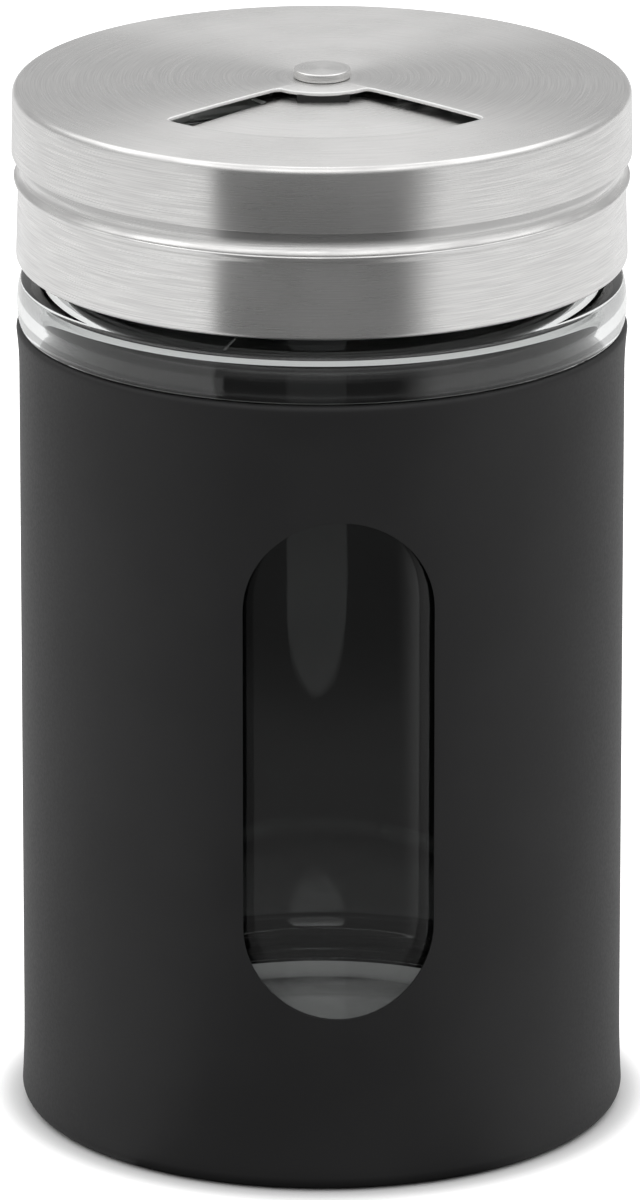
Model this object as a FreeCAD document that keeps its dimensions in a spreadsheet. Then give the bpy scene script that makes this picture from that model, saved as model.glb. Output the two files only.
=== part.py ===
import FreeCAD, Part
import os
import re

import Sketcher

# Spice shaker: a glass jar in a painted sheet sleeve, closed by a screw-on sifter lid with a rotary dial.
# Millimetres, +Z up, origin at the centre of the base. The sleeve's window faces -Y.
# Directions round the axis are in degrees, counted anticlockwise from -Y as seen from above.

SIZES = {
    # Sleeve
    "SleeveRadius": 31.35,  # outside of the straight wall
    "SleeveGauge": 0.45,  # painted sheet
    "SleeveHeight": 84.7,
    "SleeveFlare": 0.27,  # how far the mouth is belled out
    "FlareHeight": 5.2,
    "LipRound": 0.6,  # outer radius of the edge turned in at the mouth
    "FootSwell": 0.21,  # how far the foot is swaged out
    "SwellHeight": 9.0,
    "FootRound": 1.6,  # outer radius of the bend at the foot
    "FootLedge": 5.85,  # how far the foot is turned in under the jar
    "SeamTurn": 172.3,
    "SeamWidth": 1.2,
    "SeamProud": 0.12,
    # Window in the sleeve
    "WindowWidth": 19.6,
    "WindowHeight": 53.5,
    "WindowSill": 18.8,
    # Glass jar
    "JarGap": 0.3,  # between the glass and the sleeve
    "GlassWall": 2.4,
    "GlassBase": 7.0,
    "HeelRound": 4.0,
    "FloorRound": 3.0,
    "PuntRise": 0.9,  # how far the base is domed up
    "PuntMargin": 9.6,  # from the jar's wall to the dome under its base
    "BeadGap": 0.2,  # between the sleeve's lip and the shoulder
    "BeadProud": 0.2,  # how far the shoulder stands out past the sleeve
    "BeadRise": 2.0,  # from the shoulder's underside to its widest line
    "BeadRound": 8.7,  # radius of the shoulder's side
    "BeadTop": 2.8,  # from the shoulder's widest line to its edge
    "BeadEdge": 0.7,
    "ShoulderRise": 1.4,  # from the shoulder's edge up to the neck
    "NeckFillet": 1.2,
    "NeckInset": 4.65,  # from the shoulder's widest line to the neck
    "NeckWall": 2.7,
    "NeckRise": 19.5,  # from the shoulder's widest line to the rim
    "ThroatDrop": 2.0,  # from the shoulder's widest line down to the inside taper
    "ThroatHeight": 5.0,
    "RimRound": 0.7,
    # Screw thread
    "ThreadPitch": 5.0,
    "ThreadTurns": 1.25,
    "ThreadDepth": 1.2,
    "ThreadCrest": 1.0,  # width of the crest
    "ThreadRoot": 2.2,  # width where the thread leaves the wall
    "ThreadSink": 0.3,  # how deep the root is sunk in the wall
    "ThreadGap": 0.35,  # radial gap, crest to wall
    "FlankGap": 0.3,  # axial gap on the flanks that carry the lid
    "ThreadDrop": 3.1,  # from the rim to the middle of the thread's top end
    "RunOut": 0.09,  # turns over which the glass thread fades at each end
    # Seal and threaded insert
    "SealThick": 1.0,
    "SealInner": 0.3,  # how far the seal's bore clears the mouth
    "SealOuter": 0.45,  # how far the seal clears the insert's wall
    "FlangeThick": 0.85,
    "FlangeInset": 0.2,  # how far the insert's flange reaches in past the mouth
    "InsertGap": 0.1,
    "InsertShort": 0.9,  # how far the insert stops short of the lid's hem
    "InsertRound": 1.0,
    # Sifter lid and dial cap
    "SheetGauge": 0.4,
    "PlateGap": 0.05,  # between the insert's flange and the plate's rim
    "Dome": 0.8,
    "LandRadius": 7.0,  # flat land round the rivet
    "CapOverhang": 0.45,  # how far the cap stands out past the shoulder
    "CapDraft": 0.12,
    "CapRound": 1.1,
    "CapDepth": 6.85,
    "DialGap": 0.7,  # between the cap and the plate
    "WallGap": 0.53,  # between the cap's wall and the lid's
    "PlateRound": 1.2,
    "CollarDepth": 6.8,  # the lid's narrow upper wall, from the plate's rim
    "LidSwell": 0.41,
    "SwellDepth": 2.5,
    "SkirtDraft": 0.24,
    "SkirtDepth": 16.7,  # from the plate's rim to the hem
    "HemRound": 0.6,
    "HemReach": 1.35,
    # Openings of the dial and the plate
    "DialTurn": -2.0,  # the dial as it was left, 6 degrees short of closed
    "LidTurn": 4.0,  # the plate's blank quarter
    "DialInner": 6.2,
    "DialHalfAngle": 47.5,
    "DialCorner": 0.8,
    "PourInner": 8.0,
    "PourHalfAngle": 40.0,
    "PourCorner": 1.5,
    "PourMargin": 3.7,  # from the mouth to the pouring opening
    "DialMargin": 1.5,  # how far the dial's opening uncovers past it
    "CoarseHole": 1.8,
    "CoarsePitch": 4.15,  # room that each hole takes
    "FineHole": 1.0,
    "FinePitch": 3.0,
    "RingSpread": 66.0,  # angle that a ring of holes covers
    # Rivet, washer and spacer
    "RivetRadius": 1.6,
    "RivetFit": 0.03,
    "TurnFit": 0.05,
    "HeadRadius": 2.95,
    "HeadThick": 0.9,
    "HeadRound": 0.3,
    "FootRadius": 2.6,
    "FootThick": 0.7,
    "WasherRadius": 4.5,
    "WasherThick": 0.5,
    "SpacerRadius": 4.4,
    "SpacerWidth": 5.4,
    "SpacerShort": 0.25,  # how far the spacer's arms stop short of the dial's opening
}

# Heights and radii that follow from the sizes

BEAD_SEAT = "(SleeveHeight + BeadGap)"
WIDEST = f"({BEAD_SEAT} + BeadRise)"
JAR_RIM = f"({WIDEST} + NeckRise)"
FLANGE_TOP = f"({JAR_RIM} + SealThick + FlangeThick)"
PLATE_RIM = f"({FLANGE_TOP} + PlateGap + SheetGauge)"
PLATE_CROWN = f"({PLATE_RIM} + Dome)"
CAP_CROWN = f"({PLATE_CROWN} + DialGap + SheetGauge)"
CAP_RIM = f"({CAP_CROWN} - Dome)"

SHOULDER_RADIUS = "(SleeveRadius + BeadProud)"
FOOT_HOLE = "(SleeveRadius - FootLedge)"
JAR_RADIUS = "(SleeveRadius - SleeveGauge - JarGap)"
NECK_RADIUS = f"({SHOULDER_RADIUS} - NeckInset)"
MOUTH_RADIUS = f"({NECK_RADIUS} - NeckWall)"
BORE_RADIUS = f"({NECK_RADIUS} + ThreadDepth + ThreadGap)"
CAP_RADIUS = f"({SHOULDER_RADIUS} + CapOverhang)"
COLLAR_RADIUS = f"({CAP_RADIUS} - CapDraft - SheetGauge - WallGap)"
POUR_OUTER = f"({MOUTH_RADIUS} - PourMargin)"
DIAL_OUTER = f"({POUR_OUTER} + DialMargin)"

doc = FreeCAD.newDocument("SpiceShaker")
sheet = doc.addObject("Spreadsheet::Sheet", "Sizes")
for row, (alias, size) in enumerate(SIZES.items(), start=1):
    sheet.set(f"A{row}", alias)
    sheet.set(f"B{row}", str(size))
    sheet.setAlias(f"B{row}", alias)
doc.recompute()


# Helpers for expressions, sketches and features


def bound(expression):
    """The expression with each size named by its cell in the sheet."""
    return re.sub(r"[A-Z][A-Za-z]+", lambda name: f"Sizes.{name.group()}", expression)


def value(expression):
    """What an expression of sizes comes to, in millimetres or degrees."""
    return float(sheet.evalExpression(expression))


def new_body(label):
    body = doc.addObject("PartDesign::Body", label)
    body.Label = label
    return body


def new_sketch(body, label, role, height="0", turn="0"):
    """A sketch on one of the body's origin planes, lifted and turned by expressions."""
    plane = next(item for item in body.Origin.OriginFeatures if item.Role == role)
    sketch = body.newObject("Sketcher::SketchObject", label)
    sketch.AttachmentSupport = (plane, [""])
    sketch.MapMode = "FlatFace"
    sketch.setExpression("AttachmentOffset.Base.z", bound(height))
    sketch.setExpression("AttachmentOffset.Rotation.Angle", bound(turn))
    return sketch


def arc_between(start, end, radius, clockwise):
    """The shorter arc from start to end."""
    chord = end - start
    across = FreeCAD.Vector(-chord.y, chord.x, 0).normalize()
    reach = max(radius**2 - (chord.Length / 2) ** 2, 0) ** 0.5
    centre = (start + end) / 2 + across * (-reach if clockwise else reach)
    first, last = (end, start) if clockwise else (start, end)
    circle = Part.Circle(centre, FreeCAD.Vector(0, 0, 1), radius)
    return Part.ArcOfCircle(circle, circle.parameter(first), circle.parameter(last))


def draw_outline(sketch, corners, arcs=None):
    """Draw a closed outline. arcs gives a side's radius by its number: (expression, clockwise)."""
    arcs = arcs or {}
    first = sketch.GeometryCount
    points = [FreeCAD.Vector(value(x), value(y), 0) for x, y in corners]
    ends = []
    for side, start in enumerate(points):
        end = points[(side + 1) % len(points)]
        if side in arcs:
            radius, clockwise = arcs[side]
            sketch.addGeometry(arc_between(start, end, value(radius), clockwise), False)
            ends.append((2, 1) if clockwise else (1, 2))
        else:
            sketch.addGeometry(Part.LineSegment(start, end), False)
            ends.append((1, 2))
    for side, (x, y) in enumerate(corners):
        before = (side - 1) % len(points)
        here, there = (first + side, ends[side][0]), (first + before, ends[before][1])
        sketch.addConstraint(Sketcher.Constraint("Coincident", *there, *here))
        for kind, place, size in (("DistanceX", points[side].x, x), ("DistanceY", points[side].y, y)):
            number = sketch.addConstraint(Sketcher.Constraint(kind, -1, 1, *here, place))
            sketch.setExpression(f"Constraints[{number}]", bound(size))
        if side in arcs:
            radius = arcs[side][0]
            number = sketch.addConstraint(Sketcher.Constraint("Radius", first + side, value(radius)))
            sketch.setExpression(f"Constraints[{number}]", bound(radius))


def draw_circle(sketch, x, y, radius):
    place = FreeCAD.Vector(value(x), value(y), 0)
    circle = Part.Circle(place, FreeCAD.Vector(0, 0, 1), value(radius))
    number = sketch.addGeometry(circle, False)
    bonds = (
        (Sketcher.Constraint("DistanceX", -1, 1, number, 3, place.x), x),
        (Sketcher.Constraint("DistanceY", -1, 1, number, 3, place.y), y),
        (Sketcher.Constraint("Radius", number, value(radius)), radius),
    )
    for bond, size in bonds:
        index = sketch.addConstraint(bond)
        sketch.setExpression(f"Constraints[{index}]", bound(size))


def revolve(body, label, corners, arcs=None):
    """A solid of revolution from an outline of radii and heights."""
    sketch = new_sketch(body, f"{label}_profile", "XZ_Plane")
    draw_outline(sketch, corners, arcs)
    feature = body.newObject("PartDesign::Revolution", label)
    feature.Profile = sketch
    feature.ReferenceAxis = (sketch, ["V_Axis"])
    feature.Angle = 360
    return feature


def pad(body, label, sketch, length):
    feature = body.newObject("PartDesign::Pad", label)
    feature.Profile = sketch
    feature.setExpression("Length", bound(length))
    return feature


def cut(body, label, sketch, backwards=False):
    """Cut the sketch right through on one side of its plane, and make sure that it cut something."""
    doc.recompute()
    volume = body.Shape.Volume
    feature = body.newObject("PartDesign::Pocket", label)
    feature.Profile = sketch
    feature.Type = "ThroughAll"
    feature.Reversed = backwards
    doc.recompute()
    if not body.Shape.Volume < volume:
        raise RuntimeError(f"{label} cuts nothing")
    return feature


def fillet(body, label, edges, radius):
    base = body.Tip
    feature = body.newObject("PartDesign::Fillet", label)
    feature.Base = (base, edges)
    feature.setExpression("Radius", bound(radius))
    return feature


def ring_edges(body, radius, height):
    """Names of the body's round edges about the axis with this radius and height."""
    doc.recompute()
    names = []
    for number, edge in enumerate(body.Shape.Edges, start=1):
        if edge.Degenerated or not isinstance(edge.Curve, Part.Circle):
            continue
        centre = edge.Curve.Center
        off = abs(edge.Curve.Radius - value(radius)) + abs(centre.z - value(height))
        if off < 0.01 and abs(centre.x) + abs(centre.y) < 0.01:
            names.append(f"Edge{number}")
    return names


def upright_edges(body, inner, outer):
    """Names of the body's straight upright edges between two radii."""
    doc.recompute()
    names = []
    for number, edge in enumerate(body.Shape.Edges, start=1):
        if edge.Degenerated or not isinstance(edge.Curve, Part.Line) or abs(edge.Curve.Direction.z) < 0.999:
            continue
        place = edge.CenterOfMass
        if value(inner) < (place.x**2 + place.y**2) ** 0.5 < value(outer):
            names.append(f"Edge{number}")
    return names


def sector(sketch, inner, outer, half_angle):
    """A ring sector, symmetric about the sketch's -Y."""
    left = [(f"-({r}) * sin({half_angle})", f"-({r}) * cos({half_angle})") for r in (inner, outer)]
    right = [(f"({r}) * sin({half_angle})", f"-({r}) * cos({half_angle})") for r in (outer, inner)]
    arcs = {1: (outer, False), 3: (inner, True)}
    draw_outline(sketch, left + right, arcs)


def thread(body, label, role, root, crest, height, turns, growth="0", backwards=False):
    """A length of right-hand thread. Growth is how far it moves out in one turn."""
    profile = new_sketch(body, f"{label}_profile", role)
    corners = [
        (root, f"{height} - ThreadRoot / 2"),
        (crest, f"{height} - ThreadCrest / 2"),
        (crest, f"{height} + ThreadCrest / 2"),
        (root, f"{height} + ThreadRoot / 2"),
    ]
    draw_outline(profile, corners)
    helix = body.newObject("PartDesign::AdditiveHelix", label)
    helix.Profile = profile
    helix.ReferenceAxis = (profile, ["V_Axis"])
    helix.Mode = "height-turns-growth"
    helix.Reversed = backwards
    helix.setExpression("Turns", bound(turns))
    helix.setExpression("Height", bound(f"({turns}) * ThreadPitch"))
    helix.setExpression("Growth", bound(growth))
    return helix


def s_curve(run, rise):
    """Radius of two equal arcs that step aside by run over rise and end upright."""
    return f"((({run})^2 + ({rise})^2) / (4 * ({run})))"


def dome_radius(edge):
    """Radius of a dome that leaves the flat land level and falls by Dome to this radius."""
    return f"((({edge}) - LandRadius)^2 + Dome^2) / (2 * Dome)"


# Sleeve


def make_sleeve():
    body = new_body("jar_sleeve")
    inside = "(SleeveRadius - SleeveGauge)"
    mouth = "(SleeveRadius + SleeveFlare)"
    foot = "(SleeveRadius + FootSwell)"
    swell = "(((SwellHeight - FootRound)^2 + FootSwell^2) / (2 * FootSwell))"
    bell = "(((FlareHeight - LipRound)^2 + SleeveFlare^2) / (2 * SleeveFlare))"
    corners = [
        (FOOT_HOLE, "0"),
        (f"{foot} - FootRound", "0"),
        (foot, "FootRound"),
        ("SleeveRadius", "SwellHeight"),
        ("SleeveRadius", "SleeveHeight - FlareHeight"),
        (mouth, "SleeveHeight - LipRound"),
        (f"{mouth} - LipRound", "SleeveHeight"),
        (f"{mouth} - LipRound", "SleeveHeight - SleeveGauge"),
        (f"{mouth} - SleeveGauge", "SleeveHeight - LipRound"),
        (inside, "SleeveHeight - FlareHeight"),
        (inside, "SwellHeight"),
        (f"{foot} - SleeveGauge", "FootRound"),
        (f"{foot} - FootRound", "SleeveGauge"),
        (FOOT_HOLE, "SleeveGauge"),
    ]
    arcs = {
        1: ("FootRound", False),
        2: (swell, True),
        4: (bell, True),
        5: ("LipRound", False),
        7: ("LipRound - SleeveGauge", True),
        8: (bell, False),
        10: (swell, False),
        11: ("FootRound - SleeveGauge", True),
    }
    revolve(body, "rolled_sheet", corners, arcs)

    seam = new_sketch(body, "seam_section", "XY_Plane", "SwellHeight", "SeamTurn")
    half = "SeamWidth / 2"
    near = f"-({inside} - SeamProud)"
    far = "-(SleeveRadius + SeamProud)"
    draw_outline(seam, [(f"-{half}", near), (f"-{half}", far), (half, far), (half, near)])
    pad(body, "welded_seam", seam, "SleeveHeight - FlareHeight - SwellHeight")

    window = new_sketch(body, "window_outline", "XZ_Plane")
    side, low = "WindowWidth / 2", "(WindowSill + WindowWidth / 2)"
    high = "(WindowSill + WindowHeight - WindowWidth / 2)"
    corners = [
        (f"-{side}", low),
        ("0", "WindowSill"),
        (side, low),
        (side, high),
        ("0", "WindowSill + WindowHeight"),
        (f"-{side}", high),
    ]
    draw_outline(window, corners, {n: (side, False) for n in (0, 1, 3, 4)})
    cut(body, "window", window, backwards=True)
    return body


# Glass jar


def make_jar():
    body = new_body("glass_jar")
    floor = "(SleeveGauge + GlassBase)"
    cavity = f"({JAR_RADIUS} - GlassWall)"
    centre = f"({SHOULDER_RADIUS} - BeadRound)"
    seat_radius = f"({centre} + sqrt(BeadRound^2 - BeadRise^2))"
    edge_radius = f"({centre} + sqrt(BeadRound^2 - BeadTop^2))"
    edge_height = f"({WIDEST} + BeadTop)"
    neck_foot = f"({edge_height} + ShoulderRise)"
    throat = f"({WIDEST} - ThroatDrop)"
    taper = f"({cavity} - {MOUTH_RADIUS})"
    punt_radius = f"({JAR_RADIUS} - PuntMargin)"
    punt = f"(({punt_radius}^2 + PuntRise^2) / (2 * PuntRise))"
    corners = [
        ("0", "SleeveGauge + PuntRise"),
        (punt_radius, "SleeveGauge"),
        (f"{JAR_RADIUS} - HeelRound", "SleeveGauge"),
        (JAR_RADIUS, "SleeveGauge + HeelRound"),
        (JAR_RADIUS, BEAD_SEAT),
        (seat_radius, BEAD_SEAT),
        (edge_radius, edge_height),
        (NECK_RADIUS, neck_foot),
        (NECK_RADIUS, JAR_RIM),
        (MOUTH_RADIUS, JAR_RIM),
        (MOUTH_RADIUS, f"{throat} + ThroatHeight"),
        (f"{MOUTH_RADIUS} + {taper} / 2", f"{throat} + ThroatHeight / 2"),
        (cavity, throat),
        (cavity, f"{floor} + FloorRound"),
        (f"{cavity} - FloorRound", floor),
        ("0", f"{floor} + PuntRise"),
    ]
    throat_round = s_curve(taper, "ThroatHeight")
    floor_dome = f"((({cavity} - FloorRound)^2 + PuntRise^2) / (2 * PuntRise))"
    arcs = {
        0: (punt, True),
        2: ("HeelRound", False),
        5: ("BeadRound", False),
        10: (throat_round, False),
        11: (throat_round, True),
        13: ("FloorRound", True),
        14: (floor_dome, False),
    }
    revolve(body, "blown_shape", corners, arcs)
    rims = ring_edges(body, NECK_RADIUS, JAR_RIM) + ring_edges(body, MOUTH_RADIUS, JAR_RIM)
    fillet(body, "fire_polished_rim", rims, "RimRound")
    fillet(body, "shoulder_edge", ring_edges(body, edge_radius, edge_height), "BeadEdge")
    fillet(body, "neck_foot", ring_edges(body, NECK_RADIUS, neck_foot), "NeckFillet")

    root = f"{NECK_RADIUS} - ThreadSink"
    crest = f"{NECK_RADIUS} + ThreadDepth"
    top = f"({JAR_RIM} - ThreadDrop)"
    bottom = f"({top} - ThreadTurns * ThreadPitch)"
    fade = "-(ThreadDepth + ThreadSink / 2) / RunOut"
    thread(body, "neck_thread", "XZ_Plane", root, crest, bottom, "ThreadTurns")
    thread(body, "thread_start", "XZ_Plane", root, crest, bottom, "RunOut", fade, backwards=True)
    thread(body, "thread_end", "YZ_Plane", root, crest, top, "RunOut", fade)
    return body


# Seal and threaded insert


def make_seal():
    body = new_body("seal_ring")
    inner = f"({MOUTH_RADIUS} + SealInner)"
    outer = f"({BORE_RADIUS} - SealOuter)"
    top = f"{JAR_RIM} + SealThick"
    revolve(body, "cut_ring", [(inner, JAR_RIM), (outer, JAR_RIM), (outer, top), (inner, top)])
    return body


def make_insert():
    body = new_body("thread_insert")
    collar = f"({COLLAR_RADIUS} - SheetGauge - InsertGap)"
    skirt = f"({collar} + LidSwell)"
    step = f"({PLATE_RIM} - CollarDepth)"
    hem = f"({PLATE_RIM} - SkirtDepth + SheetGauge + InsertShort)"
    lip = f"({MOUTH_RADIUS} - FlangeInset)"
    swell = s_curve("LidSwell", "SwellDepth")
    corners = [
        (BORE_RADIUS, hem),
        (skirt, hem),
        (skirt, f"{step} - SwellDepth"),
        (f"{collar} + LidSwell / 2", f"{step} - SwellDepth / 2"),
        (collar, step),
        (collar, f"{FLANGE_TOP} - InsertRound"),
        (f"{collar} - InsertRound", FLANGE_TOP),
        (lip, FLANGE_TOP),
        (lip, f"{JAR_RIM} + SealThick"),
        (BORE_RADIUS, f"{JAR_RIM} + SealThick"),
    ]
    arcs = {2: (swell, False), 3: (swell, True), 5: ("InsertRound", False)}
    revolve(body, "moulded_ring", corners, arcs)

    # The lid hangs on the lower flank of the glass thread
    drop = "((ThreadCrest + ThreadRoot) / 2 + FlankGap)"
    bottom = f"({JAR_RIM} - ThreadDrop - ThreadTurns * ThreadPitch - {drop})"
    root = f"{BORE_RADIUS} + ThreadSink"
    crest = f"{NECK_RADIUS} + ThreadGap"
    thread(body, "insert_thread", "XZ_Plane", root, crest, bottom, "ThreadTurns")
    return body


# Sifter lid


def make_sifter_lid():
    body = new_body("sifter_lid")
    gauge = "SheetGauge"
    bore = "(RivetRadius + RivetFit)"
    corner = f"({COLLAR_RADIUS} - PlateRound)"
    swollen = f"({COLLAR_RADIUS} + LidSwell)"
    skirt = f"({swollen} + SkirtDraft)"
    step = f"({PLATE_RIM} - CollarDepth)"
    hem = f"({PLATE_RIM} - SkirtDepth)"
    dome = dome_radius(corner)
    swell = s_curve("LidSwell", "SwellDepth")
    corners = [
        (bore, PLATE_CROWN),
        ("LandRadius", PLATE_CROWN),
        (corner, PLATE_RIM),
        (COLLAR_RADIUS, f"{PLATE_RIM} - PlateRound"),
        (COLLAR_RADIUS, step),
        (f"{COLLAR_RADIUS} + LidSwell / 2", f"{step} - SwellDepth / 2"),
        (swollen, f"{step} - SwellDepth"),
        (skirt, f"{hem} + HemRound"),
        (f"{skirt} - HemRound", hem),
        (f"{skirt} - HemReach", hem),
        (f"{skirt} - HemReach", f"{hem} + {gauge}"),
        (f"{skirt} - HemRound", f"{hem} + {gauge}"),
        (f"{skirt} - {gauge}", f"{hem} + HemRound"),
        (f"{swollen} - {gauge}", f"{step} - SwellDepth"),
        (f"{COLLAR_RADIUS} + LidSwell / 2 - {gauge}", f"{step} - SwellDepth / 2"),
        (f"{COLLAR_RADIUS} - {gauge}", step),
        (f"{COLLAR_RADIUS} - {gauge}", f"{PLATE_RIM} - PlateRound"),
        (corner, f"{PLATE_RIM} - {gauge}"),
        ("LandRadius", f"{PLATE_CROWN} - {gauge}"),
        (bore, f"{PLATE_CROWN} - {gauge}"),
    ]
    arcs = {
        1: (dome, True),
        2: ("PlateRound", True),
        4: (swell, False),
        5: (swell, True),
        7: ("HemRound", True),
        11: (f"HemRound - {gauge}", False),
        13: (swell, False),
        14: (swell, True),
        16: (f"PlateRound - {gauge}", False),
        17: (dome, False),
    }
    revolve(body, "pressed_cup", corners, arcs)

    pour = new_sketch(body, "pour_outline", "XY_Plane", CAP_CROWN, "LidTurn - 90")
    sector(pour, "PourInner", POUR_OUTER, "PourHalfAngle")
    cut(body, "pour_opening", pour)
    corners = upright_edges(body, "PourInner - 1", f"{POUR_OUTER} + 1")
    fillet(body, "pour_corners", corners, "PourCorner")

    make_holes(body, "fine", "FineHole", "FinePitch", "LidTurn + 90")
    make_holes(body, "coarse", "CoarseHole", "CoarsePitch", "LidTurn + 180")
    return body


def make_holes(body, label, hole, pitch, turn):
    """Rings of sifting holes over one quarter of the plate, the first hole patterned round each ring."""
    room = f"({POUR_OUTER} - PourInner)"
    rings = int(value(f"{room} / {pitch}"))
    for ring in range(rings):
        radius = f"(PourInner + {room} * {(ring + 0.5) / rings})"
        count = int(value(f"{radius} * RingSpread * pi / (180 * {pitch})")) + 1
        sketch = new_sketch(body, f"{label}_hole_{ring}", "XY_Plane", CAP_CROWN, f"{turn} - RingSpread / 2")
        draw_circle(sketch, "0", f"-{radius}", hole)
        first = cut(body, f"{label}_first_{ring}", sketch)
        pattern = body.newObject("PartDesign::PolarPattern", f"{label}_ring_{ring}")
        pattern.Originals = [first]
        pattern.Axis = (sketch, ["N_Axis"])
        pattern.Mode = "Extent"
        pattern.setExpression("Angle", bound("RingSpread"))
        pattern.Occurrences = count
        body.Tip = pattern


# Dial cap


def make_dial_cap():
    body = new_body("dial_cap")
    gauge = "SheetGauge"
    bore = "(RivetRadius + TurnFit)"
    top = f"({CAP_RADIUS} - CapDraft)"
    corner = f"({top} - CapRound)"
    edge = f"({CAP_RIM} - CapDepth)"
    dome = dome_radius(corner)
    corners = [
        (bore, CAP_CROWN),
        ("LandRadius", CAP_CROWN),
        (corner, CAP_RIM),
        (top, f"{CAP_RIM} - CapRound"),
        (CAP_RADIUS, edge),
        (f"{CAP_RADIUS} - {gauge}", edge),
        (f"{top} - {gauge}", f"{CAP_RIM} - CapRound"),
        (corner, f"{CAP_RIM} - {gauge}"),
        ("LandRadius", f"{CAP_CROWN} - {gauge}"),
        (bore, f"{CAP_CROWN} - {gauge}"),
    ]
    arcs = {
        1: (dome, True),
        2: ("CapRound", True),
        6: (f"CapRound - {gauge}", False),
        7: (dome, False),
    }
    revolve(body, "pressed_cap", corners, arcs)

    opening = new_sketch(body, "opening_outline", "XY_Plane", f"{CAP_CROWN} + 1", "DialTurn")
    sector(opening, "DialInner", DIAL_OUTER, "DialHalfAngle")
    cut(body, "dial_opening", opening)
    corners = upright_edges(body, "DialInner - 1", f"{DIAL_OUTER} + 1")
    fillet(body, "opening_corners", corners, "DialCorner")
    return body


def make_spacer():
    body = new_body("dial_spacer")
    bottom = f"{PLATE_CROWN} + TurnFit"
    thick = "DialGap - TurnFit"
    disc = new_sketch(body, "disc_outline", "XY_Plane", bottom)
    draw_circle(disc, "0", "0", "SpacerRadius")
    pad(body, "disc", disc, thick)

    arms = new_sketch(body, "arms_outline", "XY_Plane", bottom, "DialTurn")
    half, reach = "SpacerWidth / 2", "(DialInner - SpacerShort)"
    corners = [(f"-{half}", f"-{reach}"), (half, f"-{reach}"), (half, reach), (f"-{half}", reach)]
    draw_outline(arms, corners)
    pad(body, "arms", arms, thick)

    bore = new_sketch(body, "bore_outline", "XY_Plane", CAP_CROWN)
    draw_circle(bore, "0", "0", "RivetRadius + TurnFit")
    cut(body, "bore", bore)
    return body


# Rivet and washer


def make_rivet():
    body = new_body("centre_rivet")
    seat = f"({CAP_CROWN} + TurnFit)"
    head = f"({seat} + HeadThick)"
    clinch = f"({PLATE_CROWN} - SheetGauge - WasherThick)"
    corners = [
        ("0", f"{clinch} - FootThick"),
        ("FootRadius - HeadRound", f"{clinch} - FootThick"),
        ("FootRadius", f"{clinch} - FootThick + HeadRound"),
        ("FootRadius", clinch),
        ("RivetRadius", clinch),
        ("RivetRadius", seat),
        ("HeadRadius", seat),
        ("HeadRadius", f"{head} - HeadRound"),
        ("HeadRadius - HeadRound", head),
        ("0", head),
    ]
    revolve(body, "set_rivet", corners, {1: ("HeadRound", False), 7: ("HeadRound", False)})
    return body


def make_washer():
    body = new_body("backing_washer")
    top = f"({PLATE_CROWN} - SheetGauge)"
    bore = "(RivetRadius + RivetFit)"
    bottom = f"{top} - WasherThick"
    revolve(body, "stamped_ring", [(bore, bottom), ("WasherRadius", bottom), ("WasherRadius", top), (bore, top)])
    return body


makers = (
    make_sleeve,
    make_jar,
    make_seal,
    make_insert,
    make_sifter_lid,
    make_dial_cap,
    make_spacer,
    make_rivet,
    make_washer,
)
bodies = [make() for make in makers]
doc.recompute()

for item in doc.Objects:
    if "Invalid" in item.State or "Error" in item.State:
        raise RuntimeError(f"{item.Label}: {item.State}")
for body in bodies:
    if body.Shape.isNull() or not body.Shape.isValid() or len(body.Shape.Solids) != 1:
        raise RuntimeError(f"{body.Label} is not one valid solid")

os.makedirs("parts", exist_ok=True)
for body in bodies:
    body.Shape.exportStep(f"parts/{body.Label}.step")
    box = body.Shape.optimalBoundingBox(False, False)
    print(f"{body.Label}: {box.XLength:.2f} x {box.YLength:.2f} x {box.ZLength:.2f}, {body.Shape.Volume:.1f} mm3")
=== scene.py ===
import logging
from dataclasses import dataclass, field
from enum import Enum
from math import atan2, cos, hypot, pi, radians, sin, sqrt, tan, tau
from typing import Callable, Iterable, Sequence

import bmesh
import bpy
from mathutils import Matrix, Vector

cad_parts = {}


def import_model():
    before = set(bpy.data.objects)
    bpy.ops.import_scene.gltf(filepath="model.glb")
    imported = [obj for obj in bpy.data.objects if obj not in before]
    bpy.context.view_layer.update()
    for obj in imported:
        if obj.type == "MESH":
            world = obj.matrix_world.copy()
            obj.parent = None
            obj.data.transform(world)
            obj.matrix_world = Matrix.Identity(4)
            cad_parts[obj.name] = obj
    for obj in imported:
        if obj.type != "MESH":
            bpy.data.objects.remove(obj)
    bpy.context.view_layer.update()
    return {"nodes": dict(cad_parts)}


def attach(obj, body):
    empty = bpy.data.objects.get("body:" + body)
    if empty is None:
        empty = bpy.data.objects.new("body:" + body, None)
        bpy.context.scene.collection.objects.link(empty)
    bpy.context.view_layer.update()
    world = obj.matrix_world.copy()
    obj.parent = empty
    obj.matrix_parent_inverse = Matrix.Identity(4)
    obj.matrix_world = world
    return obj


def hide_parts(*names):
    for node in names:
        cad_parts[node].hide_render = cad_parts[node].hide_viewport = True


Material, Object = bpy.types.Material, bpy.types.Object
Node, Socket, Tree = bpy.types.Node, bpy.types.NodeSocket, bpy.types.NodeTree
Pair = tuple[float, float]
Tone = tuple[float, float, float]

LOG = logging.getLogger("spice_shaker")
MM = 0.001
ROUND_STEPS = 192
WELD = 1e-7  # points nearer than this are one, in metres
CUT_REACH = 2.0  # how far a cutting tool reaches past the sheet's height, in millimetres
DEGREES = 180 / pi
# Parts of a noise's range that are spread over a whole ramp
TIGHT, MIDDLE, WIDE = (0.3, 0.7), (0.25, 0.75), (0.2, 0.8)


class Turn(Enum):
    """Which way an arc of a profile runs, with the radius to the right and the height up."""

    LEFT = 1
    RIGHT = -1


LEFT, RIGHT = Turn.LEFT, Turn.RIGHT


# Shader building


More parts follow.
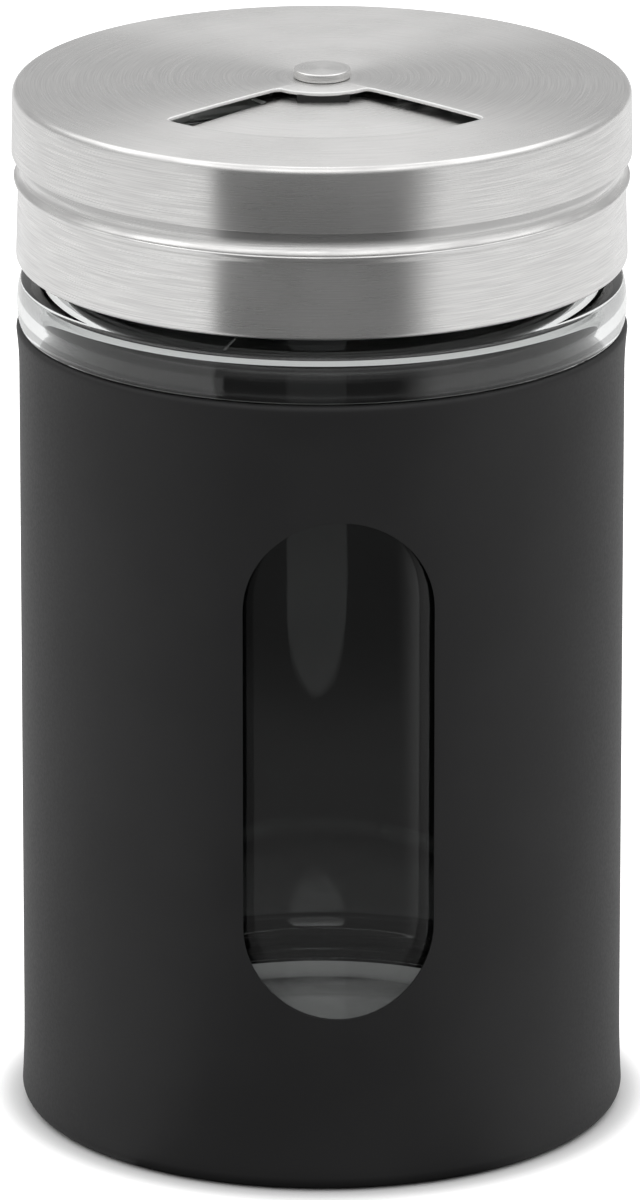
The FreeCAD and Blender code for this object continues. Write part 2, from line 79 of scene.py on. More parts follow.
class Nodes:
    """A short way to add and join the nodes of one tree."""

    def __init__(self, tree: Tree) -> None:
        """Keep the tree and empty it.

        Args:
            tree: The node tree to build in.
        """
        self.tree = tree
        tree.nodes.clear()

    def add(self, kind: str, **settings: object) -> Node:
        """Add a node.

        Args:
            kind: The node's type name.
            **settings: Attributes to set on it.

        Returns:
            The new node.
        """
        node = self.tree.nodes.new(kind)
        for name, setting in settings.items():
            setattr(node, name, setting)
        return node

    def feed(self, socket: Socket, source: object) -> None:
        """Join a socket to another, or set it to a plain value."""
        if isinstance(source, Socket):
            self.tree.links.new(source, socket)
        else:
            socket.default_value = source

    def math(self, operation: str, *values: object) -> Socket:
        """Work out a number.

        Args:
            operation: The Math node's operation.
            *values: Sockets or numbers to work on.

        Returns:
            The socket that holds the result.
        """
        node = self.add("ShaderNodeMath", operation=operation)
        for socket, source in zip(node.inputs, values):
            self.feed(socket, source)
        return node.outputs[0]

    def radius(self, x: object, y: object) -> Socket:
        """Distance from the axis of a place at x and y."""
        squares = [self.math("MULTIPLY", part, part) for part in (x, y)]
        return self.math("SQRT", self.math("ADD", *squares))

    def spot(self, space: str = "Object") -> Sequence[Socket]:
        """The x, y and z sockets of a texture coordinate."""
        split = self.add("ShaderNodeSeparateXYZ")
        self.feed(split.inputs[0], self.add("ShaderNodeTexCoord").outputs[space])
        return split.outputs

    def ramp(
        self, source: object, low: float, high: float, to_low: float = 0.0, to_high: float = 1.0
    ) -> Socket:
        """Map a number from one range to another, smoothly and within its ends.

        Args:
            source: The number's socket.
            low: Where the source's range starts.
            high: Where it ends.
            to_low: The result at the start.
            to_high: The result at the end.

        Returns:
            The socket that holds the result.
        """
        node = self.add("ShaderNodeMapRange", interpolation_type="SMOOTHSTEP")
        for socket, value in zip(node.inputs, (source, low, high, to_low, to_high)):
            self.feed(socket, value)
        return node.outputs[0]

    def mix(self, factor: object, first: object, second: object) -> Socket:
        """Mix two colours.

        Args:
            factor: Share of the second colour.
            first: The first colour.
            second: The second colour.

        Returns:
            The socket that holds the mixed colour.
        """
        node = self.add("ShaderNodeMix", data_type="RGBA")
        self.feed(node.inputs["Factor"], factor)
        self.feed(node.inputs[6], first)
        self.feed(node.inputs[7], second)
        return node.outputs[2]

    def noise(self, place: object, scale: float, detail: float = 2.0) -> Socket:
        """Smooth noise from 0 to 1.

        Args:
            place: The socket that holds the position.
            scale: Noise cells in one unit of position.
            detail: Octaves of finer noise.

        Returns:
            The socket that holds the noise.
        """
        node = self.add("ShaderNodeTexNoise")
        self.feed(node.inputs["Vector"], place)
        self.feed(node.inputs["Scale"], scale)
        self.feed(node.inputs["Detail"], detail)
        return node.outputs[0]


def new_group(
    name: str, inputs: Sequence[tuple[str, str, float]], outputs: Sequence[str]
) -> tuple[Tree, Nodes, Node, Node]:
    """Start a shader node group.

    Args:
        name: The group's name.
        inputs: Name, socket type and default of each input.
        outputs: Name of each output, all of them numbers.

    Returns:
        The group's tree, its builder, and its input and output nodes.
    """
    tree = bpy.data.node_groups.new(name, "ShaderNodeTree")
    for label, kind, default in inputs:
        socket = tree.interface.new_socket(label, in_out="INPUT", socket_type=kind)
        socket.default_value = default
    for label in outputs:
        tree.interface.new_socket(label, in_out="OUTPUT", socket_type="NodeSocketFloat")
    nodes = Nodes(tree)
    return tree, nodes, nodes.add("NodeGroupInput"), nodes.add("NodeGroupOutput")


def brushing_group() -> Tree:
    """Fine brush lines that run round the axis, on a wall and on a top alike.

    Returns:
        A group that puts out Lines, from 0 to 1, and Patches, slow changes from 0 to 1.
    """
    inputs = (("Lines per mm", "NodeSocketFloat", 6.0), ("Streak mm", "NodeSocketFloat", 12.0))
    tree, nodes, given, result = new_group("brush_lines", inputs, ("Lines", "Patches"))
    place = nodes.add("ShaderNodeTexCoord").outputs["Object"]
    split = nodes.add("ShaderNodeSeparateXYZ")
    nodes.feed(split.inputs[0], place)
    x, y, z = split.outputs
    radius = nodes.radius(x, y)
    angle = nodes.math("ARCTAN2", y, x)
    across = nodes.math("MULTIPLY", nodes.math("ADD", radius, z), 1000.0)
    across = nodes.math("MULTIPLY", across, given.outputs["Lines per mm"])
    reach = nodes.math("DIVIDE", nodes.math("MULTIPLY", radius, 1000.0), given.outputs["Streak mm"])
    streak = nodes.add("ShaderNodeCombineXYZ")
    nodes.feed(streak.inputs[0], nodes.math("MULTIPLY", nodes.math("COSINE", angle), reach))
    nodes.feed(streak.inputs[1], nodes.math("MULTIPLY", nodes.math("SINE", angle), reach))
    nodes.feed(streak.inputs[2], across)
    nodes.feed(result.inputs["Lines"], nodes.noise(streak.outputs[0], 1.0, 3.0))
    nodes.feed(result.inputs["Patches"], nodes.noise(place, 90.0, 2.0))
    return tree


def speckle_group() -> Tree:
    """Small soft bumps, as of powder coat or moulded plastic.

    Returns:
        A group that puts out Bumps and Patches, both from 0 to 1.
    """
    inputs = (("Bumps per mm", "NodeSocketFloat", 4.0),)
    tree, nodes, given, result = new_group("surface_speckle", inputs, ("Bumps", "Patches"))
    place = nodes.add("ShaderNodeTexCoord").outputs["Object"]
    scaled = nodes.add("ShaderNodeVectorMath", operation="SCALE")
    nodes.feed(scaled.inputs[0], place)
    nodes.feed(scaled.inputs["Scale"], nodes.math("MULTIPLY", given.outputs[0], 1000.0))
    nodes.feed(result.inputs["Bumps"], nodes.noise(scaled.outputs[0], 1.0, 2.0))
    nodes.feed(result.inputs["Patches"], nodes.noise(place, 60.0, 3.0))
    return tree


def place_group(nodes: Nodes, tree: Tree, **values: float) -> Node:
    """Put a group in a material with its own values.

    Args:
        nodes: The material's builder.
        tree: The group.
        **values: Values for its inputs, with underscores for spaces.

    Returns:
        The group's node.
    """
    node = nodes.add("ShaderNodeGroup", node_tree=tree)
    for label, value in values.items():
        node.inputs[label.replace("_", " ")].default_value = value
    return node


def shader(name: str) -> tuple[Material, Nodes, Node]:
    """Start a material.

    Args:
        name: The material's name.

    Returns:
        The material, its builder and its Principled shader.
    """
    material = bpy.data.materials.new(name)
    material.use_nodes = True
    nodes = Nodes(material.node_tree)
    principled = nodes.add("ShaderNodeBsdfPrincipled")
    output = nodes.add("ShaderNodeOutputMaterial")
    nodes.feed(output.inputs["Surface"], principled.outputs[0])
    return material, nodes, principled


def add_bump(nodes: Nodes, principled: Node, height: object, depth: float) -> None:
    """Feed a height to the shader's normal.

    Args:
        nodes: The material's builder.
        principled: Its Principled shader.
        height: Socket of the height, from 0 to 1.
        depth: What a height of 1 stands for, in metres.
    """
    bump = nodes.add("ShaderNodeBump")
    bump.inputs["Strength"].default_value = 1.0
    bump.inputs["Distance"].default_value = depth
    nodes.feed(bump.inputs["Height"], height)
    nodes.feed(principled.inputs["Normal"], bump.outputs[0])


@dataclass(frozen=True)
class BrushedSteel:
    """Stainless sheet brushed round the axis."""

    name: str
    tone: Tone = (0.76, 0.755, 0.745)
    dark_tone: Tone = (0.62, 0.615, 0.61)
    roughness: float = 0.3
    spread: float = 0.08
    anisotropy: float = 0.85
    lines_per_mm: float = 12.0
    streak_mm: float = 6.0
    line_depth: float = 0.000001
    brush_turn: float = 0.25
    wear: float = 0.02
    # The recess fields paint shade: the wall above recess_start, under the cap's rim, is darkened
    # as if hidden from the light.
    recess_start: float | None = None
    recess_depth: float = 0.4
    recess_radii: Pair = (30.7, 30.85)
    recess_shade: float = 1.0

    @property
    def shaded_recess_tone(self) -> tuple[float, ...]:
        """Tone of the steel deep in its recess, darkened there as painted shade."""
        return tuple(self.recess_shade * channel for channel in self.dark_tone)

    def recess(self, nodes: Nodes) -> Socket:
        """Mark the wall above a height, where it is hidden from the light.

        Args:
            nodes: The material's builder.

        Returns:
            The socket of the mask, 1 in the recess.
        """
        x, y, z = nodes.spot()
        radius = nodes.radius(x, y)
        wall = nodes.ramp(radius, *(reach * MM for reach in self.recess_radii))
        start = self.recess_start
        high = nodes.ramp(z, start * MM, (start + self.recess_depth) * MM)
        return nodes.math("MULTIPLY", wall, high)

    def make(self, brushing: Tree) -> Material:
        """Build the material.

        Args:
            brushing: The group of brush lines.

        Returns:
            The material.
        """
        material, nodes, steel = shader(self.name)
        lines = place_group(
            nodes, brushing, Lines_per_mm=self.lines_per_mm, Streak_mm=self.streak_mm
        )
        streaks = nodes.ramp(lines.outputs["Lines"], *TIGHT)
        brushed = nodes.mix(streaks, (*self.dark_tone, 1), (*self.tone, 1))
        # Painted shade: the wall in the recess is mixed towards a darker tone.
        if self.recess_start is not None:
            brushed = nodes.mix(self.recess(nodes), brushed, (*self.shaded_recess_tone, 1))
        nodes.feed(steel.inputs["Base Color"], brushed)
        low = self.roughness - self.spread / 2
        rough = nodes.ramp(lines.outputs["Lines"], *MIDDLE, low + self.spread, low)
        worn = nodes.ramp(lines.outputs["Patches"], *TIGHT, -self.wear, self.wear)
        nodes.feed(steel.inputs["Roughness"], nodes.math("ADD", rough, worn))
        steel.inputs["Metallic"].default_value = 1.0
        steel.inputs["Anisotropic"].default_value = self.anisotropy
        steel.inputs["Anisotropic Rotation"].default_value = self.brush_turn
        along = nodes.add("ShaderNodeTangent", direction_type="RADIAL", axis="Z")
        nodes.feed(steel.inputs["Tangent"], along.outputs[0])
        add_bump(nodes, steel, lines.outputs["Lines"], self.line_depth)
        return material


@dataclass(frozen=True)
class ShearedSteel:
    """The bare cut edge of the sheet, partly painted highlight: its pale, mostly non-metallic
    colour makes it brighter than its faces.
    """

    name: str = "sheared_edge_highlight"
    tone: Tone = (0.9, 0.9, 0.89)
    dulling: float = 0.85
    roughness: float = 0.5
    unevenness: Pair = (-0.06, 0.08)
    metal: float = 0.35

    def make(self, speckle: Tree) -> Material:
        """Build the material.

        Args:
            speckle: The group of small bumps.

        Returns:
            The material.
        """
        material, nodes, steel = shader(self.name)
        grit = place_group(nodes, speckle, Bumps_per_mm=12.0)
        dull = tuple(self.dulling * channel for channel in self.tone)
        mixed = nodes.mix(grit.outputs["Patches"], (*dull, 1), (*self.tone, 1))
        nodes.feed(steel.inputs["Base Color"], mixed)
        low, high = (self.roughness + change for change in self.unevenness)
        nodes.feed(steel.inputs["Roughness"], nodes.ramp(grit.outputs["Bumps"], *TIGHT, low, high))
        steel.inputs["Metallic"].default_value = self.metal
        return material


@dataclass(frozen=True)
class CoatedSurface:
    """A coat or a moulded surface with fine bumps."""

    name: str
    tone: Tone
    pale_tone: Tone
    roughness: float
    bumps_per_mm: float = 5.0
    bump_depth: float = 0.000006
    shine: float = 0.5
    unevenness: Pair = (-0.04, 0.05)

    def make(self, speckle: Tree) -> Material:
        """Build the material.

        Args:
            speckle: The group of small bumps.

        Returns:
            The material.
        """
        material, nodes, coat = shader(self.name)
        grit = place_group(nodes, speckle, Bumps_per_mm=self.bumps_per_mm)
        patch = nodes.ramp(grit.outputs["Patches"], *TIGHT)
        mixed = nodes.mix(patch, (*self.tone, 1), (*self.pale_tone, 1))
        nodes.feed(coat.inputs["Base Color"], mixed)
        low, high = (self.roughness + change for change in self.unevenness)
        nodes.feed(coat.inputs["Roughness"], nodes.ramp(grit.outputs["Bumps"], *WIDE, low, high))
        coat.inputs["Specular IOR Level"].default_value = self.shine
        add_bump(nodes, coat, grit.outputs["Bumps"], self.bump_depth)
        return material


@dataclass(frozen=True)
class ClearGlass:
    """Blown soda glass, clear, with a faint waviness."""

    name: str = "clear_glass"
    tone: Tone = (0.97, 0.985, 0.98)
    wave_depth: float = 0.00002
    haze: float = 0.012

    def make(self) -> Material:
        """Build the material.

        Returns:
            The material.
        """
        material, nodes, glass = shader(self.name)
        glass.inputs["Transmission Weight"].default_value = 1.0
        glass.inputs["IOR"].default_value = 1.5
        place = nodes.add("ShaderNodeTexCoord").outputs["Object"]
        waves = nodes.noise(place, 120.0, 1.0)
        pale = tuple(min(1.0, 1.01 * channel) for channel in self.tone)
        nodes.feed(glass.inputs["Base Color"], nodes.mix(waves, (*self.tone, 1), (*pale, 1)))
        nodes.feed(glass.inputs["Roughness"], nodes.ramp(waves, *WIDE, 0.0, self.haze))
        add_bump(nodes, glass, waves, self.wave_depth)
        return material


@dataclass
class Finishes:
    """Every finish of the shaker, built once."""

    sleeve: Material = field(init=False)
    glass: Material = field(init=False)
    cap: Material = field(init=False)
    lid: Material = field(init=False)
    rivet: Material = field(init=False)
    cut_edge_highlight: Material = field(init=False)
    spacer: Material = field(init=False)
    insert: Material = field(init=False)
    seal: Material = field(init=False)

    def __post_init__(self) -> None:
        """Build the groups and the materials that use them."""
        brushing = brushing_group()
        speckle = speckle_group()
        coats = {
            "black_coat": (
                (0.023, 0.023, 0.0235), (0.027, 0.027, 0.0275), 0.5, 3.0, 0.000006, 0.18
            ),
            # The spacer's finish is near black, darker than the sleeve's coat.
            "near_black_spacer": ((0.004, 0.004, 0.004), (0.007, 0.007, 0.007), 0.5),
            "white_insert": ((0.62, 0.62, 0.60), (0.68, 0.68, 0.66), 0.4),
            "seal_foam": ((0.66, 0.66, 0.64), (0.72, 0.72, 0.70), 0.8),
        }
        self.sleeve, self.spacer, self.insert, self.seal = (
            CoatedSurface(name, *coat).make(speckle) for name, coat in coats.items()
        )
        self.glass = ClearGlass().make()
        self.cap = BrushedSteel("cap_steel").make(brushing)
        # The lid's steel carries painted shade in its collar's recess under the cap's rim.
        self.lid = BrushedSteel(
            "lid_steel", tone=(0.81, 0.805, 0.795), dark_tone=(0.66, 0.655, 0.65),
            recess_start=101.6, recess_shade=0.8,
        ).make(brushing)
        rivet = BrushedSteel("rivet_steel", anisotropy=0.5, lines_per_mm=14.0)
        self.rivet = rivet.make(brushing)
        self.cut_edge_highlight = ShearedSteel().make(speckle)


# Shape building


def arc_turn(start: Vector, end: Vector, radius: float, turn: Turn) -> tuple[Vector, float]:
    """Find the shorter arc between two points.

    Args:
        start: Where the arc starts.
        end: Where it ends.
        radius: Its radius.
        turn: Which way it turns.

    Returns:
        The arc's centre and its angle, positive to the left.
    """
    chord = end - start
    half = chord.length / 2
    across = Vector((-chord.y, chord.x)).normalized()
    reach = sqrt(max(radius**2 - half**2, 0.0))
    centre = (start + end) / 2 + across * reach * turn.value
    return centre, 2 * atan2(half, reach) * turn.value


class Outline:
    """A closed profile in millimetres, drawn from corner to corner with runs and arcs."""

    def __init__(self, start: Pair, upright: bool = True) -> None:
        """Start a profile.

        Args:
            start: The first corner.
            upright: Whether the profile stands in the XZ plane, or lies in the XY plane.
        """
        self.mesh = bmesh.new()
        self.upright = upright
        self.last = bmesh.ops.create_vert(self.mesh, co=self.place(start))["vert"][0]
        self.first = self.last
        self.at = Vector(start)

    def place(self, spot: Sequence[float]) -> Vector:
        """A spot of the profile in metres, in space."""
        across, up = spot[0] * MM, spot[1] * MM
        return Vector((across, 0, up)) if self.upright else Vector((across, up, 0))

    def run(self, *corners: Pair) -> "Outline":
        """Draw straight runs through the corners.

        Args:
            *corners: The corners, in order.

        Returns:
            The outline itself.
        """
        for corner in corners:
            made = bmesh.ops.extrude_vert_indiv(self.mesh, verts=[self.last])
            self.last = made["verts"][0]
            self.last.co = self.place(corner)
            self.at = Vector(corner)
        return self

    def arc(self, end: Pair, radius: float, turn: Turn, steps: int = 6) -> "Outline":
        """Draw an arc.

        Args:
            end: Where it ends.
            radius: Its radius.
            turn: Which way it turns.
            steps: How many runs stand for it.

        Returns:
            The outline itself.
        """
        centre, angle = arc_turn(self.at, Vector(end), radius, turn)
        axis = (0, -1, 0) if self.upright else (0, 0, 1)
        made = bmesh.ops.spin(
            self.mesh, geom=[self.last], cent=self.place(centre), axis=axis, angle=angle,
            steps=steps,
        )
        self.last = next(item for item in made["geom_last"] if isinstance(item, bmesh.types.BMVert))
        self.at = Vector(end)
        return self

    def close(self) -> "Outline":
        """Join the last corner to the first."""
        self.mesh.edges.new((self.last, self.first))
        return self

    def lathe(self, name: str, steps: int = ROUND_STEPS) -> Object:
        """Turn the profile about the axis into a closed solid.

        Args:
            name: The piece's name.
            steps: How many steps the full turn takes.

        Returns:
            The piece.
        """
        geom = self.mesh.verts[:] + self.mesh.edges[:]
        bmesh.ops.spin(
            self.mesh, geom=geom, cent=(0, 0, 0), axis=(0, 0, 1), angle=tau, steps=steps,
            use_merge=True,
        )
        return self.finish(name)

    def prism(self, name: str, low: float, high: float, turned: float = 0.0) -> Object:
        """Raise the profile into a prism.

        Args:
            name: The piece's name.
            low: Its lower end, in millimetres along the profile's normal.
            high: Its upper end.
            turned: Angle about the vertical axis, in degrees.

        Returns:
            The piece.
        """
        normal = Vector((0, 1, 0)) if self.upright else Vector((0, 0, 1))
        bmesh.ops.contextual_create(self.mesh, geom=self.mesh.edges[:])
        bmesh.ops.translate(self.mesh, vec=normal * low * MM, verts=self.mesh.verts[:])
        made = bmesh.ops.extrude_face_region(self.mesh, geom=self.mesh.faces[:])
        raised = [item for item in made["geom"] if isinstance(item, bmesh.types.BMVert)]
        bmesh.ops.translate(self.mesh, vec=normal * (high - low) * MM, verts=raised)
        turn = Matrix.Rotation(radians(turned), 3, "Z")
        bmesh.ops.rotate(self.mesh, cent=(0, 0, 0), matrix=turn, verts=self.mesh.verts[:])
        return self.finish(name)

    def finish(self, name: str) -> Object:
        """Close the seams and poles, turn the faces out and make the piece."""
        bmesh.ops.remove_doubles(self.mesh, verts=self.mesh.verts[:], dist=WELD)
        bmesh.ops.recalc_face_normals(self.mesh, faces=self.mesh.faces[:])
        return as_piece(self.mesh, name)


def as_piece(mesh: bmesh.types.BMesh, name: str) -> Object:
    """Make an object of a bmesh, and free the bmesh.

    Args:
        mesh: The bmesh.
        name: The object's name.

    Returns:
        The object, linked to the scene.
    """
    data = bpy.data.meshes.new(name)
    mesh.to_mesh(data)
    mesh.free()
    piece = bpy.data.objects.new(name, data)
    bpy.context.scene.collection.objects.link(piece)
    return piece


def combine(piece: Object, tool: Object, operation: str) -> None:
    """Cut a piece with a tool or join the tool to it, and remove the tool.

    Args:
        piece: The piece to change.
        tool: The object that cuts it or is joined to it.
        operation: DIFFERENCE or UNION.
    """
    work = piece.modifiers.new("work", "BOOLEAN")
    work.operation = operation
    work.solver = "EXACT"
    work.object = tool
    work.material_mode = "TRANSFER"
    bpy.context.view_layer.update()
    evaluated = piece.evaluated_get(bpy.context.evaluated_depsgraph_get())
    shaped = bpy.data.meshes.new_from_object(evaluated)
    piece.modifiers.clear()
    rough = piece.data
    piece.data = shaped
    shaped.name = piece.name
    bpy.data.meshes.remove(rough)
    bpy.data.objects.remove(tool)


def smooth(piece: Object, sharp_from: float = 32.0) -> None:
    """Shade a piece smooth, with creases where faces meet at more than an angle in degrees."""
    piece.data.shade_smooth()
    piece.data.set_sharp_from_angle(angle=radians(sharp_from))


def paint(piece: Object, *materials: Material) -> None:
    """Put the materials in a piece's slots, in order."""
    piece.data.materials.clear()
    for material in materials:
        piece.data.materials.append(material)


def settle(piece: Object, body: str, slot: str, *nodes: str) -> None:
    """Let a piece ride on its body and stand for its nodes.

    Args:
        piece: The piece.
        body: The body it moves with.
        slot: The record's material slot; not used.
        *nodes: The CAD nodes it stands for.
    """
    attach(piece, body)
    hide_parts(*nodes)
    LOG.info("%s: %d faces on %s", piece.name, len(piece.data.polygons), body)


def s_radius(run: float, rise: float) -> float:
    """Radius of two equal arcs that step aside by run over rise."""
    return (run**2 + rise**2) / (4 * run)


def chord_radius(run: float, rise: float) -> float:
    """Radius of an arc that leaves one line flat, and steps aside by rise over run."""
    return (run**2 + rise**2) / (2 * rise)


def rounding(corner: Vector, back: Vector, ahead: Vector, radius: float) -> tuple[Vector, Vector]:
    """Find where the rounding of a corner starts and ends.

    Args:
        corner: The corner.
        back: A point on the line that comes in.
        ahead: A point on the line that goes out.
        radius: The rounding's radius.

    Returns:
        The rounding's two ends.
    """
    inward, outward = (back - corner).normalized(), (ahead - corner).normalized()
    reach = radius / tan(inward.angle(outward) / 2)
    return corner + inward * reach, corner + outward * reach


def sector_outline(inner: float, outer: float, half_angle: float, corner: float) -> Outline:
    """A ring sector about -Y with rounded corners, lying flat.

    Args:
        inner: Its inner radius.
        outer: Its outer radius.
        half_angle: Half of its angle, in degrees.
        corner: The radius of its corners.

    Returns:
        The outline.
    """
    half = radians(half_angle)

    def spot(radius: float, side: int) -> Pair:
        return side * radius * sin(half), -radius * cos(half)

    outline = Outline(spot(inner, -1), upright=False)
    outline.run(spot(outer, -1))
    outline.arc(spot(outer, 1), outer, LEFT, steps=48)
    outline.run(spot(inner, 1))
    outline.arc(spot(inner, -1), inner, RIGHT, steps=20)
    mesh = outline.mesh
    bmesh.ops.remove_doubles(mesh, verts=mesh.verts[:], dist=WELD)
    ends = [outline.place(spot(radius, side)) for radius in (inner, outer) for side in (-1, 1)]
    corners = [
        vert for vert in mesh.verts if any((vert.co - end).length < 10 * WELD for end in ends)
    ]
    bmesh.ops.bevel(
        mesh,
        geom=corners,
        offset=corner * MM,
        offset_type="OFFSET",
        segments=5,
        profile=0.5,
        affect="VERTICES",
        material=-1,
    )
    return outline


# The shaker's parts


@dataclass
class Sleeve:
    """The coated sheet tube round the jar."""

    radius: float = 31.35
    gauge: float = 0.45
    height: float = 84.7
    mouth: float = 31.62
    bell_height: float = 5.2
    lip: float = 0.6
    foot: float = 31.56
    foot_round: float = 1.6
    foot_hole: float = 25.5
    swell_height: float = 9.0
    window_width: float = 19.6
    window_height: float = 53.5
    window_sill: float = 18.8
    seam_turn: float = 172.3
    seam_width: float = 1.2
    seam_proud: float = 0.12
    seam_round: float = 0.05
    tool_proud: float = 3.0
    tool_depth: float = 20.0

    def sheet(self) -> Object:
        """Turn the rolled sheet, with its belled mouth and turned-in foot."""
        inside = self.radius - self.gauge
        swell = chord_radius(self.swell_height - self.foot_round, self.foot - self.radius)
        bell = chord_radius(self.bell_height - self.lip, self.mouth - self.radius)
        bell_foot = self.height - self.bell_height
        bell_top = self.height - self.lip
        outline = Outline((self.foot_hole, 0))
        outline.run((self.foot - self.foot_round, 0))
        outline.arc((self.foot, self.foot_round), self.foot_round, LEFT, 8)
        outline.arc((self.radius, self.swell_height), swell, RIGHT, 8)
        outline.run((self.radius, bell_foot))
        outline.arc((self.mouth, bell_top), bell, RIGHT, 8)
        outline.arc((self.mouth - self.lip, self.height), self.lip, LEFT, 6)
        outline.run((self.mouth - self.lip, self.height - self.gauge))
        outline.arc((self.mouth - self.gauge, bell_top), self.lip - self.gauge, RIGHT, 3)
        outline.arc((inside, bell_foot), bell, LEFT, 8)
        outline.run((inside, self.swell_height))
        outline.arc((self.foot - self.gauge, self.foot_round), swell, LEFT, 8)
        inner_round = self.foot_round - self.gauge
        outline.arc((self.foot - self.foot_round, self.gauge), inner_round, RIGHT, 6)
        outline.run((self.foot_hole, self.gauge))
        return outline.close().lathe("jar_sleeve_coated")

    def window(self) -> Object:
        """Make the tool that cuts the window."""
        side = self.window_width / 2
        low, high = self.window_sill + side, self.window_sill + self.window_height - side
        outline = Outline((-side, low))
        outline.arc((0, self.window_sill), side, LEFT, 16)
        outline.arc((side, low), side, LEFT, 16)
        outline.run((side, high))
        outline.arc((0, high + side), side, LEFT, 16)
        outline.arc((-side, high), side, LEFT, 16)
        return outline.close().prism(
            "window_tool", -self.radius - self.tool_proud, -self.tool_depth
        )

    def seam(self) -> Object:
        """Make the flat welded seam at the back."""
        half = self.seam_width / 2
        inner, outer = self.radius - self.gauge / 2, self.radius + self.seam_proud
        outline = Outline((-half, -inner), upright=False)
        outline.run((-half, -outer), (half, -outer), (half, -inner)).close()
        low, high = self.swell_height, self.height - self.bell_height
        piece = outline.prism("jar_sleeve_seam", low, high, self.seam_turn)
        bevel_edges(piece, is_sharp, self.seam_round, 2)
        return piece

    def build(self, finishes: Finishes) -> None:
        """Make the sleeve and dress it."""
        sheet = self.sheet()
        paint(sheet, finishes.sleeve)
        tool = self.window()
        paint(tool, finishes.sleeve)
        combine(sheet, tool, "DIFFERENCE")
        smooth(sheet)
        settle(sheet, "jar", "black_coat", "jar_sleeve")
        seam = self.seam()
        paint(seam, finishes.sleeve)
        smooth(seam)
        settle(seam, "jar", "black_coat", "jar_sleeve")


def bevel_edges(
    piece: Object,
    picked: Callable[[bmesh.types.BMEdge], bool],
    width: float,
    segments: int,
    material: int = -1,
) -> None:
    """Round the edges of a piece that a rule picks.

    Args:
        piece: The piece.
        picked: The rule, asked of each edge between two faces.
        width: Width of the rounding, in millimetres.
        segments: Steps in the rounding.
        material: Slot of the rounding's material, or -1 for its neighbours'.
    """
    work = bmesh.new()
    work.from_mesh(piece.data)
    edges = [edge for edge in work.edges if edge.is_manifold and picked(edge)]
    bmesh.ops.bevel(
        work, geom=edges, offset=width * MM, segments=segments, profile=0.5, affect="EDGES",
        material=material,
    )
    work.to_mesh(piece.data)
    work.free()


def is_sharp(edge: bmesh.types.BMEdge) -> bool:
    """Whether an edge's faces meet at more than 40 degrees."""
    return edge.calc_face_angle() > radians(40)


def parts_materials(edge: bmesh.types.BMEdge) -> bool:
    """Whether an edge's two faces have different materials, as where a hole is cut."""
    return edge.link_faces[0].material_index != edge.link_faces[1].material_index


